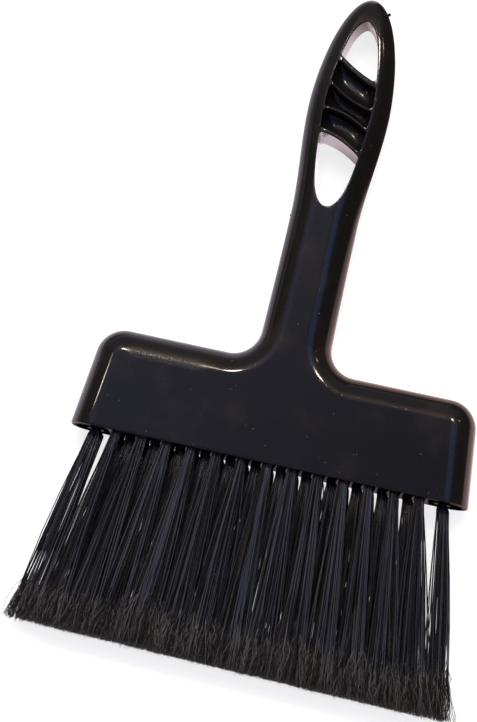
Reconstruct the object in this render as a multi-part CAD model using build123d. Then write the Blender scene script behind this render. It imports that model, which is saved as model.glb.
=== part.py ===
from build123d import *
import math
import os

# Bee brush lying on its back. Millimetres. X runs along the head, +Y along the handle to its tip and
# +Z up through the front face. The origin is the centre of the head's flat back face.

# Head, with the radius that its shoulder corners keep inside the rounded edge
block_height = 42.6
block_thickness = 22.0
mouth_width = 166.0
side_taper = 4.8
corner_inner_radius = 1.6
parting_land = 1.2
mouth_edge_radius = 0.9

# Handle: from the mouth of the head to the top of the neck, on to the widest place of the grip, and
# on to the tip
neck_length = 105.0
grip_rise = 47.0
tip_rise = 49.5
neck_width = 28.1
neck_flare = 0.95
neck_fillet_radius = 11.6
grip_width = 34.0
tip_thickness = 15.6
tip_fullness = 1.8
nose_fullness = 14
nose_length = 22.0
nose_flat = 0.15
neck_straight = 2.0

# Walls left round the grip's openings
rail_width = 7.2
tip_rail_width = 11.4
neck_bridge = 3.9
hang_top_taper = 12.0
lower_opening_taper = 30.0
opening_fullness = 4
opening_corner_radius = 1.2
rim_radius = 0.5

# Bridge ribs: how far each lies above the widest place of the grip at the left rail, in the middle
# and at the right rail, and its thickness
rib_curves = [
    (22.2, 15.5, 11.2, 2.4),
    (9.9, 3.6, 0.7, 1.3),
    (-1.8, -3.3, -8.6, 1.3),
    (-11.4, -13.9, -20.0, 1.9),
]
web_thickness = 2.4
pocket_dish_radius = 12.5
pocket_corner_radius = 0.5

# Marks left by the mould: the broken-off gate below the tip and the nib of flash below the neck's top
gate_drop = 5.0
gate_radius = 0.65
gate_stand = 1.2
flash_drop = 0.5
flash_radius = 0.7
flash_stand = 0.35

# Tuft holes in three rows: the front and back rows are alike, and the middle one is staggered
front_tufts = 13
row_inset = 20.0
row_spacing = 6.0
end_tuft_gap = 9.4
hole_diameter = 4.1
hole_depth = 14.0
tuft_clearance = 0.05

# Hollow round each end tuft
hollow_wall = 2.1
hollow_depth = 8.0
row_wall = 1.55
boss_wall = 1.45

# Filament strands, with the rings that they stand in: how many, the share of the full radius, and the
# first one's turn as a share of a step
filament_length = 83.5
strand_root_width = 0.52
strand_tip_width = 1.15
strand_rings = [(4, 0.42, 0.0), (8, 1.0, 0.5)]
strand_seat = 1.0
strand_edge = 0.08
strand_gap = 0.65
fan_ratio = 1.19
fan_lean = 1.5
trim_wave = 1.2
trim_step_by_tuft = 2.1
trim_step_by_strand = 1.7

# Wire anchors
anchor_width = 4.8
anchor_height = 2.0
anchor_thickness = 0.4
anchor_seat = 1.0
anchor_clearance = 0.05

tolerance = 0.01

mid_height = block_thickness / 2
edge_radius = (block_thickness - parting_land) / 2
corner_radius = edge_radius + corner_inner_radius
shoulder_width = mouth_width - 2 * side_taper
neck_base_width = neck_width + 2 * neck_flare
mouth_y = -block_height / 2
shoulder_y = block_height / 2
grip_length = neck_length + grip_rise
handle_length = grip_length + tip_rise
neck_y = mouth_y + neck_length
tip_y = mouth_y + handle_length
hang_top_length = handle_length - tip_rail_width
lower_opening_length = neck_length + neck_bridge
rib_reach = grip_width / 2 - rail_width
row_length = mouth_width - 2 * row_inset
tuft_pitch = row_length / (front_tufts - 1)
hole_radius = hole_diameter / 2
end_tuft_offset = row_length / 2 + end_tuft_gap
hollow_start = row_length / 2 + hole_radius + row_wall
tuft_radius = hole_radius - tuft_clearance
ring_radius = tuft_radius - strand_root_width / math.sqrt(2) - strand_edge
spread_along_row = (tuft_pitch * fan_ratio - strand_tip_width - strand_gap) / 2
spread_across_rows = (row_spacing - strand_tip_width - strand_gap) / 2


def ease(t):
    return t * t * (3 - 2 * t)


def handle_half_width(length):
    # Swells from the neck to the grip, then closes to the tip as a blunt superellipse.
    if length <= grip_length:
        swell = ease((length - neck_length) / grip_rise)
        return neck_width / 2 + (grip_width - neck_width) / 2 * swell
    part = (length - grip_length) / tip_rise
    return grip_width / 2 * math.sqrt(1 - part**tip_fullness)


def handle_half_thickness(length):
    # Thins evenly from the neck to the tip, where it rounds off into a nose.
    part = (length - neck_length) / (handle_length - neck_length)
    slab = block_thickness - (block_thickness - tip_thickness) * ease(part)
    return slab / 2 * math.sqrt(1 - part**nose_fullness)


def handle_section(length):
    half_width = handle_half_width(length)
    half_thickness = handle_half_thickness(length)
    radius = edge_radius / mid_height * min(half_width, half_thickness)
    plane = Plane((0, mouth_y + length, mid_height), x_dir=(1, 0, 0), z_dir=(0, 1, 0))
    return plane * RectangleRounded(2 * half_width, 2 * half_thickness, radius)


def handle_stations():
    # Even steps up the grip, then steps that shorten towards the nose.
    steps = 7
    nose_steps = 8
    crowding = 1.6
    rise = handle_length - nose_length - neck_length
    grip = [neck_length + rise * k / steps for k in range(1, steps)]
    shares = [math.cos(math.pi / 2 * k / nose_steps) ** crowding for k in range(nose_steps)]
    nose = [handle_length - nose_length * share for share in shares]
    return [neck_length, neck_length + neck_straight] + grip + nose + [handle_length - nose_flat]


def on_cut_end(edge):
    # True of the straight edges at the mouth and at the top of the neck.
    ends = [edge.position_at(0).Y, edge.position_at(1).Y]
    return any(all(abs(y - end) < tolerance for y in ends) for end in (mouth_y, neck_y))


def head_and_neck():
    # Plan outline of the head with its neck, rounded in plan, raised to the full thickness and then
    # rounded over both faces everywhere but at the mouth and at the top of the neck.
    mouth_right = (mouth_width / 2, mouth_y)
    shoulder_right = (shoulder_width / 2, shoulder_y)
    base_right = (neck_base_width / 2, shoulder_y)
    neck_right = (neck_width / 2, neck_y)
    half_rise = (neck_y - shoulder_y) / 2
    neck_curve = (4 * half_rise**2 + neck_flare**2) / (2 * neck_flare)
    sag = neck_curve - math.sqrt(neck_curve**2 - half_rise**2)
    waist_right = (neck_width / 2 + sag, neck_y - half_rise)
    right = [
        Line(mouth_right, shoulder_right),
        Line(shoulder_right, base_right),
        ThreePointArc(base_right, waist_right, neck_right),
    ]
    top = Line(neck_right, (-neck_width / 2, neck_y))
    bottom = Line((-mouth_width / 2, mouth_y), mouth_right)
    left = [mirror(edge, about=Plane.YZ) for edge in right]
    plan = make_face(right + [top, bottom] + left)
    corner_x = neck_base_width / 2 + tolerance
    shoulders = [v for v in plan.vertices() if abs(v.Y - shoulder_y) < tolerance]
    plan = fillet([v for v in shoulders if abs(v.X) > corner_x], corner_radius)
    shoulders = [v for v in plan.vertices() if abs(v.Y - shoulder_y) < tolerance]
    plan = fillet([v for v in shoulders if abs(v.X) < corner_x], neck_fillet_radius)
    slab = extrude(plan, block_thickness)
    rims = [edge for face in slab.faces().filter_by(Plane.XY) for edge in face.edges()]
    slab = fillet([edge for edge in rims if not on_cut_end(edge)], edge_radius)
    mouth = slab.faces().sort_by(Axis.Y)[0]
    return fillet(mouth.edges(), mouth_edge_radius)


def handle():
    return loft([handle_section(length) for length in handle_stations()])


def opening_half_width(length):
    # Follows the rails at a steady width and closes at both ends as a blunt curve.
    middle = handle_half_width(length) - rail_width
    from_top = (length - (hang_top_length - hang_top_taper)) / hang_top_taper
    from_bottom = (lower_opening_length + lower_opening_taper - length) / lower_opening_taper
    closing = max(from_top, from_bottom, 0.0)
    return middle * math.sqrt(max(1 - closing**opening_fullness, 0.0))


def between_rails():
    # Plan outline of the whole hollow between the rails, from the lower opening to the hanging one.
    steps = 14
    span = hang_top_length - lower_opening_length
    right = []
    for k in range(steps + 1):
        length = lower_opening_length + span * (1 - math.cos(math.pi * k / steps)) / 2
        right.append((opening_half_width(length), mouth_y + length))
    left = [(-x, y) for x, y in right[-2:0:-1]]
    return make_face(Spline(right + left, periodic=True))


def rib_point(rib, x, offset):
    # A rib's line is the parabola through its three given heights.
    left, middle, right, thickness = rib
    slope = (right - left) / (2 * rib_reach)
    bow = ((right + left) / 2 - middle) / rib_reach**2
    return (x, mouth_y + grip_length + middle + slope * x + bow * x**2 + offset * thickness)


def rib_edge(rib, offset):
    # One side of a rib, as an arc that runs on into both rails.
    reach = grip_width / 2
    return ThreePointArc(*[rib_point(rib, x, offset) for x in (-reach, 0, reach)])


def strip_plan(upper_edge, lower_edge):
    right = Line(upper_edge @ 1, lower_edge @ 1)
    left = Line(upper_edge @ 0, lower_edge @ 0)
    return make_face([upper_edge, right, lower_edge, left])


def opening_plans():
    reach = grip_width / 2
    above = Line((-reach, tip_y), (reach, tip_y))
    below = Line((-reach, neck_y), (reach, neck_y))
    hanging = between_rails() & strip_plan(above, rib_edge(rib_curves[0], 0.5))
    lower = between_rails() & strip_plan(rib_edge(rib_curves[-1], -0.5), below)
    return [fillet(plan.vertices(), opening_corner_radius) for plan in (hanging, lower)]


def pocket_plans():
    plans = []
    for upper, lower in zip(rib_curves, rib_curves[1:]):
        plan = between_rails() & strip_plan(rib_edge(upper, -0.5), rib_edge(lower, 0.5))
        plans.append(fillet(plan.vertices(), pocket_corner_radius))
    return plans


def pocket_cut(plan):
    # Straight walls over a floor dished across the handle.
    floor = mid_height + web_thickness / 2
    walls = Pos(0, 0, floor) * extrude(plan, block_thickness)
    dish = Cylinder(pocket_dish_radius, handle_length / 2, rotation=(90, 0, 0))
    return walls & Pos(0, mouth_y + grip_length, floor + pocket_dish_radius) * dish


def rim_edges(body):
    # The edges that the straight walls of the openings share with the front and back of the grip.
    lowest = mouth_y + lower_opening_length - tolerance
    edges = []
    for face in body.faces():
        middle = face.center()
        inside = abs(middle.X) < rib_reach and lowest < middle.Y < tip_y - rail_width
        if inside and abs(face.normal_at(middle).Z) < tolerance:
            edges += [e for e in face.edges() if abs((e @ 1).Z - (e @ 0).Z) < mid_height]
    return edges


def open_grip(body):
    for plan in opening_plans():
        body -= extrude(plan, block_thickness)
    body = fillet(rim_edges(body), rim_radius)
    middle_plane = Plane.XY.offset(mid_height)
    for plan in pocket_plans():
        front = pocket_cut(plan)
        body -= front
        body -= mirror(front, about=middle_plane)
    return body


def tuft_places():
    # Root of each tuft at the mouth: its name, x and z.
    rows = [
        ("front", front_tufts, mid_height + row_spacing),
        ("middle", front_tufts - 1, mid_height),
        ("back", front_tufts, mid_height - row_spacing),
    ]
    places = []
    for row, count, z in rows:
        for k in range(count):
            x = (k - (count - 1) / 2) * tuft_pitch
            places.append((f"tuft_{row}_{k + 1:02d}", x, z))
    places.append(("tuft_end_left", -end_tuft_offset, mid_height))
    places.append(("tuft_end_right", end_tuft_offset, mid_height))
    return places


def mouth_plane(x, z):
    # A plane at the mouth, looking up into the head.
    return Plane((x, mouth_y, z), x_dir=(1, 0, 0), z_dir=(0, 1, 0))


def end_hollow():
    # The hollow beside the end tuft, open at the mouth, with the tuft's own boss left standing in it.
    inner_width = mouth_width - 2 * hollow_wall
    inner_thickness = block_thickness - 2 * hollow_wall
    radius = (inner_thickness - parting_land) / 2
    section = mouth_plane(0, mid_height) * RectangleRounded(inner_width, inner_thickness, radius)
    room = extrude(section, hollow_depth)
    half = mouth_width / 2
    keep = Pos(hollow_start + half / 2, mouth_y, mid_height) * Box(half, 3 * hollow_depth, half)
    boss_radius = hole_radius + boss_wall
    boss = extrude(mouth_plane(end_tuft_offset, mid_height) * Circle(boss_radius), hollow_depth)
    return (room & keep) - boss


def anchor(x, z, clearance):
    width = anchor_width + 2 * clearance
    height = anchor_height + 2 * clearance
    thickness = anchor_thickness + 2 * clearance
    middle_y = mouth_y + hole_depth - anchor_seat - anchor_height / 2
    return Pos(x, middle_y, z) * Box(width, height, thickness)


def drill_head(body):
    hollow = end_hollow()
    body -= hollow
    body -= mirror(hollow, about=Plane.YZ)
    for name, x, z in tuft_places():
        hole = extrude(mouth_plane(x, z) * Circle(hole_radius), hole_depth)
        body -= hole + anchor(x, z, anchor_clearance)
    return body


def strand(x, z, k, j, angle, ring):
    # One four-sided strand, straight from its place in the root to its place in the fanned tip.
    along = ring * math.cos(angle)
    across = ring * math.sin(angle)
    wave = math.sin(trim_step_by_tuft * k + trim_step_by_strand * j)
    root_place = (x + ring_radius * along, mouth_y + strand_seat, z + ring_radius * across)
    tip_x = x * fan_ratio + fan_lean + spread_along_row * along
    tip_place = (tip_x, mouth_y - filament_length - trim_wave * wave, z + spread_across_rows * across)
    root = Plane(root_place, x_dir=(1, 0, 0), z_dir=(0, -1, 0))
    tip = Plane(tip_place, x_dir=(1, 0, 0), z_dir=(0, -1, 0))
    root_face = root * Rectangle(strand_root_width, strand_root_width)
    tip_face = tip * Rectangle(strand_tip_width, strand_tip_width)
    return loft([root_face, tip_face], ruled=True)


def tuft(k, x, z):
    # The folded root that fills its hole, slotted for its anchor, with the strands grown out of it.
    root = extrude(mouth_plane(x, z) * Circle(tuft_radius), hole_depth - tuft_clearance)
    root -= anchor(x, z, anchor_clearance)
    strands = []
    for count, ring, turn in strand_rings:
        for j in range(count):
            angle = 2 * math.pi * (j + turn) / count
            strands.append(strand(x, z, k, len(strands), angle, ring))
    return root.fuse(*strands)


def mould_marks():
    gate_length = handle_length - gate_drop
    gate_x = handle_half_width(gate_length)
    narrowing = gate_x - handle_half_width(gate_length + tolerance)
    lean = math.degrees(math.atan2(narrowing, tolerance))
    gate = Cylinder(gate_radius, 2 * gate_stand, rotation=(0, 90, 0))
    gate = Pos(gate_x, mouth_y + gate_length, mid_height) * Rot(0, 0, lean) * gate
    flash_x = -neck_width / 2 - flash_stand + flash_radius
    return gate + Pos(flash_x, neck_y - flash_drop, mid_height) * Sphere(flash_radius)


def handle_block():
    body = head_and_neck() + handle()
    body = open_grip(body)
    body = drill_head(body)
    return body + mould_marks()


os.makedirs("parts", exist_ok=True)
export_step(handle_block(), "parts/handle_block.step")
anchors = {"front": [], "middle": [], "back": [], "end": []}
for k, (name, x, z) in enumerate(tuft_places()):
    export_step(tuft(k, x, z), f"parts/{name}.step")
    anchors[name.split("_")[1]].append(anchor(x, z, 0))
for row, pieces in anchors.items():
    export_step(Compound(children=pieces), f"parts/{row}_anchors.step")
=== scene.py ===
import math
import bmesh
import bpy
import numpy as np
from mathutils import Matrix, Vector
from mathutils.geometry import delaunay_2d_cdt


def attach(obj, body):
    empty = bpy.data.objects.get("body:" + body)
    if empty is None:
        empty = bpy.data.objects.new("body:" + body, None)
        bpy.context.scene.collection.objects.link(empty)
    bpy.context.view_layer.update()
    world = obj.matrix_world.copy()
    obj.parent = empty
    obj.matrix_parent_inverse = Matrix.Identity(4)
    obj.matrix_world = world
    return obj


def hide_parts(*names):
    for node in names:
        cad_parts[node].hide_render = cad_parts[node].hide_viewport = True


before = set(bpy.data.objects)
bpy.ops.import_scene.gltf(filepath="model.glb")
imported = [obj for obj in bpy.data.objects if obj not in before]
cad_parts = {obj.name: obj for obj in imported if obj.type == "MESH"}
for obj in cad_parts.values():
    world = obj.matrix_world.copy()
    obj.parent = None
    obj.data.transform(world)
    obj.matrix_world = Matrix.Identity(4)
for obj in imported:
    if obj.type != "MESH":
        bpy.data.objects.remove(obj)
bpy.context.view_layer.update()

mm = 0.001


def addObject(name, data):
    obj = bpy.data.objects.new(name, data)
    bpy.context.scene.collection.objects.link(obj)
    return obj


def buildMesh(name, points, faceSets):
    # One mesh object from points and from sets of equally sided faces.
    mesh = bpy.data.meshes.new(name)
    loops = np.concatenate([faces.ravel() for faces in faceSets]).astype(np.int32)
    sizes = np.concatenate([np.full(len(faces), faces.shape[1]) for faces in faceSets])
    starts = np.concatenate([[0], np.cumsum(sizes)[:-1]]).astype(np.int32)
    mesh.vertices.add(len(points))
    mesh.vertices.foreach_set("co", points.astype(np.float32).ravel())
    mesh.loops.add(len(loops))
    mesh.loops.foreach_set("vertex_index", loops)
    mesh.polygons.add(len(sizes))
    mesh.polygons.foreach_set("loop_start", starts)
    mesh.update(calc_edges=True)
    mesh.shade_smooth()
    return addObject(name, mesh)


def pointValues(piece, name, values):
    layer = piece.data.attributes.new(name, "FLOAT", "POINT")
    layer.data.foreach_set("value", values.astype(np.float32).ravel())


# Camera, fitted to the photograph
camera = {
    "place": (93.70 * mm, -163.75 * mm, 1150.19 * mm),
    "target": (-21.503 * mm, 18.835 * mm, 11.0 * mm),
    "roll": math.radians(13.035),
    "focalPixels": 2825.0,
    "longSidePixels": 722,
    "sensor": 36.0,
}


def addCamera(settings):
    data = bpy.data.cameras.new("photoCamera")
    data.sensor_width = settings["sensor"]
    data.lens = settings["sensor"] * settings["focalPixels"] / settings["longSidePixels"]
    data.clip_start = 0.05
    data.clip_end = 50.0
    place = Vector(settings["place"])
    back = (place - Vector(settings["target"])).normalized()
    right = Vector((0, 1, 0)).cross(back).normalized()
    up = back.cross(right)
    c, s = math.cos(settings["roll"]), math.sin(settings["roll"])
    imageRight = c * right + s * up
    imageUp = c * up - s * right
    obj = addObject("photoCamera", data)
    obj.matrix_world = Matrix.Translation(place) @ Matrix((imageRight, imageUp, back)).transposed().to_4x4()
    bpy.context.scene.camera = obj


addCamera(camera)
bpy.context.scene.view_settings.view_transform = "Standard"
print("camera set")


# Studio. Directions are (azimuth, elevation) in degrees, azimuth turned from +X towards +Y. The soft
# suns light and shade; the lamps and the room's glows are what the gloss shows.
softSuns = {  # direction, width in degrees, strength, colour
    "warmSun": ((112, 62), 34, 1.45, (1.0, 0.95, 0.88)),
    "coolSun": ((20, 66), 60, 0.75, (0.86, 0.92, 1.0)),
}
lamps = {
    "leftLamp": ((112, 66), 4.5, 0.34, (1.0, 0.88, 0.70)),
    "rightLamp": ((68, 63), 5.5, 0.42, (1.0, 0.88, 0.70)),
    "smallLamp": ((42, 41), 3.0, 0.05, (1.0, 0.86, 0.72)),
}
nearLamp = {  # lights only the head's left side
    "place": (-0.407, 0.110, 0.524),
    "target": (-0.076, 0.0, 0.018),
    "diameter": 0.031,
    "power": 0.075,
    "colour": (1.0, 0.90, 0.74),
}
glows = [  # direction, angles within which it is full and beyond which it is gone, colour
    ((0, 90), 12, 38, (0.01, 0.03, 0.13)),
    ((140, 66), 6, 19, (0.22, 0.25, 0.42)),
    ((110, 20), 35, 62, (0.20, 0.18, 0.22)),
    ((290, 20), 35, 62, (0.18, 0.17, 0.20)),
    ((36, 69), 7, 17, (0.13, 0.24, 0.66)),
    ((112, 58), 2, 15, (0.55, 0.27, 0.13)),
    ((68, 57), 2, 13, (0.38, 0.25, 0.16)),
]
studio = {
    "room": (0.05, 0.032, 0.024),
    "floorRadius": 6.0,
    "floorDrop": 0.00003,
    "wallHeight": 1.15,
    "coveRadius": 0.5,
    "floorColour": (0.42, 0.415, 0.42),
    "floorGlow": 0.78,
}
# Painted reflection: the floor as glossy rays see it, with painted shade and painted light.
mirrored = {  # what gloss sees of the floor; regions give their edges along X, then Y
    "leftTint": (0.70, 0.62, 0.71),
    "rightTint": (0.78, 0.55, 0.52),
    "tintChange": (-0.02, 0.02),
    "darkest": 0.07,
    "rightSlant": 0.45,
    "rightFrom": (0.096, 0.120),
    "rightOfHandle": (-0.012, 0.012),
    "pastLeft": [(-0.065, -0.125), (0.045, 0.062, 0.130, 0.185)],
    "farFrom": (0.20, 0.50),
    "farShare": 0.6,
    "underTufts": [(-0.088, -0.083, 0.083, 0.088), (-0.125, -0.105, -0.0215, -0.0205)],
    "tuftsShare": 0.93,
    "inOpenings": [(-0.016, -0.012, 0.012, 0.016), (0.078, 0.088)],
    "openingsGain": 0.7,
    "headFrom": (0.060, 0.020),
    "nearGain": 1.5,
}


def compass(azimuth, elevation):
    a, e = math.radians(azimuth), math.radians(elevation)
    return Vector((math.cos(a) * math.cos(e), math.sin(a) * math.cos(e), math.sin(e)))


def addLight(name, kind, strength, colour, place, target):
    data = bpy.data.lights.new(name, kind)
    data.energy = strength
    data.color = colour
    obj = addObject(name, data)
    obj.location = place
    obj.rotation_euler = (place - Vector(target)).to_track_quat("Z", "Y").to_euler()
    return obj


def addSuns(settings, inGloss):
    for name, (direction, width, strength, colour) in settings.items():
        sun = addLight(name, "SUN", strength, colour, compass(*direction), (0, 0, 0))
        sun.data.angle = math.radians(width)
        sun.visible_glossy = inGloss


def addNearLamp(settings):
    place, target = Vector(settings["place"]), settings["target"]
    lamp = addLight("sideLamp", "AREA", settings["power"], settings["colour"], place, target)
    lamp.data.shape = "DISK"
    lamp.data.size = settings["diameter"]
    lamp.visible_camera = False


def nodeMaker(tree):
    # Gives a function that adds a node: inputs hold numbers, colours or the sockets they come from.
    tree.nodes.clear()

    def make(kind, inputs, **settings):
        node = tree.nodes.new("ShaderNode" + kind)
        for name, value in settings.items():
            setattr(node, name, value)
        for key, value in inputs.items():
            if isinstance(value, bpy.types.NodeSocket):
                tree.links.new(value, node.inputs[key])
            else:
                node.inputs[key].default_value = value
        return node
    return make


def newMaterial(name):
    material = bpy.data.materials.new(name)
    material.use_nodes = True
    return material, nodeMaker(material.node_tree)


def smooth(make, value, start, end):
    # Eases from 0 at start to 1 at end.
    inputs = {0: value, 1: start, 2: end}
    return make("MapRange", inputs, interpolation_type="SMOOTHSTEP").outputs[0]


def chain(make, operation, first, *others):
    # Joins values by one operation, from left to right.
    for other in others:
        first = make("Math", {0: first, 1: other}, operation=operation).outputs[0]
    return first


def times(make, *values):
    return chain(make, "MULTIPLY", *values)


def eased(make, value, edges):
    # Eases from 0 to 1 between the first two edges and, where there are four, back to 0 between the others.
    share = smooth(make, value, *edges[:2])
    return times(make, share, smooth(make, value, edges[3], edges[2])) if edges[2:] else share


def region(make, split, limits):
    # Product of what each axis eases to.
    return times(make, *(eased(make, split[axis], edges) for axis, edges in zip("XYZ", limits)))


def objectPlace(make):
    return make("TexCoord", {}).outputs["Object"]


def stretched(make, scale):
    # Object coordinates, scaled along each axis.
    return make("Mapping", {0: objectPlace(make), 3: scale}, vector_type="POINT").outputs[0]


def noise(make, place, scale, detail=2.0):
    inputs = {"Vector": place, "Scale": scale, "Detail": detail}
    return make("TexNoise", inputs).outputs[0]


def ranged(make, value, low, high, outcome):
    # Runs from the first to the second outcome while the value runs from low to high.
    return make("MapRange", {0: value, 1: low, 2: high, 3: outcome[0], 4: outcome[1]}).outputs[0]


def mixed(make, share, first, second, **settings):
    # Mix of two colours, each given as three numbers or as a socket.
    pair = [c if isinstance(c, bpy.types.NodeSocket) else (*c, 1) for c in (first, second)]
    return make("Mix", {0: share, 6: pair[0], 7: pair[1]}, data_type="RGBA", **settings).outputs[2]


def addWorld(settings, glows):
    # Dark room plus soft round glows, each eased by the angle from its direction.
    world = bpy.data.worlds.new("darkRoom")
    world.use_nodes = True
    make = nodeMaker(world.node_tree)
    direction = make("TexCoord", {}).outputs["Generated"]
    total = settings["room"]
    for towards, full, gone, colour in glows:
        inputs = {0: direction, 1: compass(*towards)}
        facing = make("VectorMath", inputs, operation="DOT_PRODUCT").outputs["Value"]
        share = smooth(make, facing, math.cos(math.radians(gone)), math.cos(math.radians(full)))
        inputs = {0: share, 1: colour, 2: total}
        total = make("VectorMath", inputs, operation="MULTIPLY_ADD").outputs[0]
    background = make("Background", {"Color": total})
    make("OutputWorld", {"Surface": background.outputs[0]})
    bpy.context.scene.world = world


def revolveProfile(radii, heights, steps):
    # Surface of revolution: each profile point (radius, height) turned about the Z axis.
    turn = np.linspace(0, 2 * np.pi, steps, endpoint=False)
    x = radii[:, None] * np.cos(turn)
    y = radii[:, None] * np.sin(turn)
    z = np.repeat(heights[:, None], steps, axis=1)
    ring = np.arange(len(radii) - 1)[:, None] * steps
    k = np.arange(steps)[None, :]
    after = (k + 1) % steps
    faces = np.stack([ring + k, ring + steps + k, ring + steps + after, ring + after], axis=-1)
    return np.stack([x, y, z], axis=-1).reshape(-1, 3), faces.reshape(-1, 4)


def mirroredFloor(make, settings):
    # Painted reflection, an emission that only glossy rays see: lit paper near the brush, warmer to the
    # right, with the dark room beyond it to the right of the handle and to the left of the neck, painted
    # shade under the tufts, and painted extra light in the openings.
    place = objectPlace(make)
    split = make("SeparateXYZ", {0: place}).outputs
    x, y = split["X"], split["Y"]
    slant = make("Math", {0: x, 1: settings["rightSlant"], 2: y}, operation="MULTIPLY_ADD").outputs[0]
    pastRight = times(make, smooth(make, slant, *settings["rightFrom"]),
                      smooth(make, x, *settings["rightOfHandle"]))
    pastLeft = region(make, split, settings["pastLeft"])
    distance = make("VectorMath", {0: place}, operation="LENGTH").outputs["Value"]
    farOff = times(make, smooth(make, distance, *settings["farFrom"]), settings["farShare"])
    # Painted shade under the tufts, in the reflection.
    underTufts = times(make, region(make, split, settings["underTufts"]), settings["tuftsShare"])
    dark = chain(make, "MAXIMUM", pastRight, pastLeft, underTufts, farOff)
    rightwards = smooth(make, x, *settings["tintChange"])
    tint = mixed(make, rightwards, settings["leftTint"], settings["rightTint"])
    share = ranged(make, dark, 0.0, 1.0, (1.0, settings["darkest"]))
    # Painted extra light in the openings, in the reflection.
    inOpenings = region(make, split, settings["inOpenings"])
    near = chain(make, "MAXIMUM", inOpenings, smooth(make, y, *settings["headFrom"]))
    strength = ranged(make, near, 0.0, 1.0, (1.0, settings["nearGain"]))
    inputs = {0: inOpenings, 1: settings["openingsGain"], 2: strength}
    strength = make("Math", inputs, operation="MULTIPLY_ADD").outputs[0]
    return make("Emission", {"Color": tint, "Strength": times(make, share, strength)}).outputs[0]


def addFloor(settings):
    # Disc, quarter-round cove and low wall in one sheet.
    bend = np.linspace(0, np.pi / 2, 10)
    reach, cove = settings["floorRadius"], settings["coveRadius"]
    radii = np.concatenate([[0.0005, 0.5, 2.0], reach - cove + cove * np.sin(bend), [reach]])
    heights = np.concatenate([[0.0, 0.0, 0.0], cove * (1 - np.cos(bend)), [settings["wallHeight"]]])
    heights = heights - settings["floorDrop"]
    points, faces = revolveProfile(radii, heights, 96)
    floor = buildMesh("studioFloor", points, [faces])
    material, make = newMaterial("palePaper")
    path = make("LightPath", {}).outputs
    paper = make("BsdfDiffuse", {"Color": (*settings["floorColour"], 1)})
    seen = chain(make, "MAXIMUM", path["Is Camera Ray"], path["Is Transmission Ray"])
    glow = make("Emission", {"Strength": times(make, seen, settings["floorGlow"])})
    lit = make("AddShader", {0: paper.outputs[0], 1: glow.outputs[0]})
    inputs = {0: path["Is Glossy Ray"], 1: lit.outputs[0], 2: mirroredFloor(make, mirrored)}
    make("OutputMaterial", {"Surface": make("MixShader", inputs).outputs[0]})
    floor.data.materials.append(material)


addSuns(softSuns, False)
addSuns(lamps, True)
addNearLamp(nearLamp)
addWorld(studio, glows)
addFloor(studio)
print("studio lit")


# Moulding: its shape is in millimetres, with heights over the middle plane of the slab, its finish in
# metres. The scuffed and worn regions give their edges along X, Y and Z.
moulding = {
    "thickness": 22.0,
    "mouth": -21.3,
    "headHeight": 42.6,
    "mouthHalf": 83.0,
    "shoulderHalf": 78.2,
    "cornerRadius": 12.0,
    "edgeRadius": 10.4,
    "mouthEdge": 0.9,
    "neckLength": 105.0,
    "neckHalf": 14.05,
    "neckFlare": 0.95,
    "neckFillet": 11.6,
    "gripRise": 47.0,
    "gripHalf": 17.0,
    "tipRise": 49.35,
    "tipFullness": 1.8,
    "tipThickness": 15.6,
    "noseFullness": 14,
    "noseLength": 10.0,
    "railWidth": 7.2,
    "lowerEnd": 108.9,
    "upperEnd": 190.1,
    "lowerTaper": 30.0,
    "upperTaper": 12.0,
    "openingFullness": 4,
    "ribs": [  # left, middle and right height over the widest place of the grip, thickness
        (22.2, 15.5, 11.2, 2.4),
        (9.9, 3.6, 0.7, 1.3),
        (-1.8, -3.3, -8.6, 1.3),
        (-11.4, -13.9, -20.0, 1.9),
    ],
    "ribReach": 9.8,
    "openingCorner": 1.2,
    "pocketCorner": 1.0,
    "loopStep": 0.35,
    "openingRim": 0.5,
    "pocketRim": 0.5,
    "floorFillet": 0.75,
    "webHalf": 1.2,
    "dishDepth": 4.5,
    "dishFullness": 5,
    "dishRise": 1.3,
    "dishTilt": 0.16,
    "edgeSteps": 24,
    "fieldStep": 0.8,
    "floorStep": 0.6,
    "flash": 0.10,
    "holeRadius": 2.05,
    "holeDepth": 14.0,
    "hollowWall": 2.1,
    "hollowDepth": 8.0,
    "hollowStart": 66.6,
    "bossRadius": 3.5,
    "creaseAngle": math.radians(38),
    "gateLength": 196.5,
    "gateRadii": (0.75, 0.66, 0.6, 0.35),
    "gateReach": (-1.2, 0.3, 0.95, 1.15),
    "nibLength": 104.5,
    "nibRadii": (0.6, 0.5, 0.2),
    "nibReach": (-0.8, 0.15, 0.35),
    "baseColour": (0.0066, 0.0064, 0.0064),
    "filmColour": (0.014, 0.0112, 0.0088),
    "dustColour": (0.22, 0.21, 0.20),
    "waveStretch": (1.0, 0.35, 1.0),
    "waveScale": 28.0,
    "waveHeight": 0.00009,
    "peelScale": 900.0,
    "peelHeight": 0.0000012,
    "scratchScales": [(2600.0, 90.0, 400.0), (140.0, 3100.0, 400.0)],
    "scratchDepth": 0.0000025,
    "scratchShare": (0.66, 0.72),
    "dustScale": 950.0,
    "dustReach": (0.20, 0.10),
    "dustShare": (0.975, 0.985),
    "smudgeScale": 55.0,
    "filmShare": (0.50, 0.72),
    "coatPolish": (0.045, 0.10),
    "bodyHaze": (0.30, 0.42),
    "scratchRub": 0.12,
    "speckleScale": 1400.0,
    "scuffRub": (0.16, 0.34),
    "scuffed": [(-0.068, -0.063, -0.040, -0.028), (0.0085, 0.0108, 0.0150, 0.0180), (0.016, 0.020)],
    "pocketRub": 0.10,
    "worn": [(-0.0108, -0.0095, 0.0095, 0.0108), (0.108, 0.110, 0.145, 0.148), (0.0190, 0.0172)],
    "specular": 0.07,
    "coat": 0.90,
}


def gridFaces(rows, columns, closed=False):
    # Quads between neighbouring rows of a grid; a closed grid joins its last column to its first.
    i = np.arange(rows - 1)[:, None]
    k = np.arange(columns if closed else columns - 1)[None, :]
    after = (k + 1) % columns
    here, there = i * columns, (i + 1) * columns
    return np.stack([here + k, here + after, there + after, there + k], -1)


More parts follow.
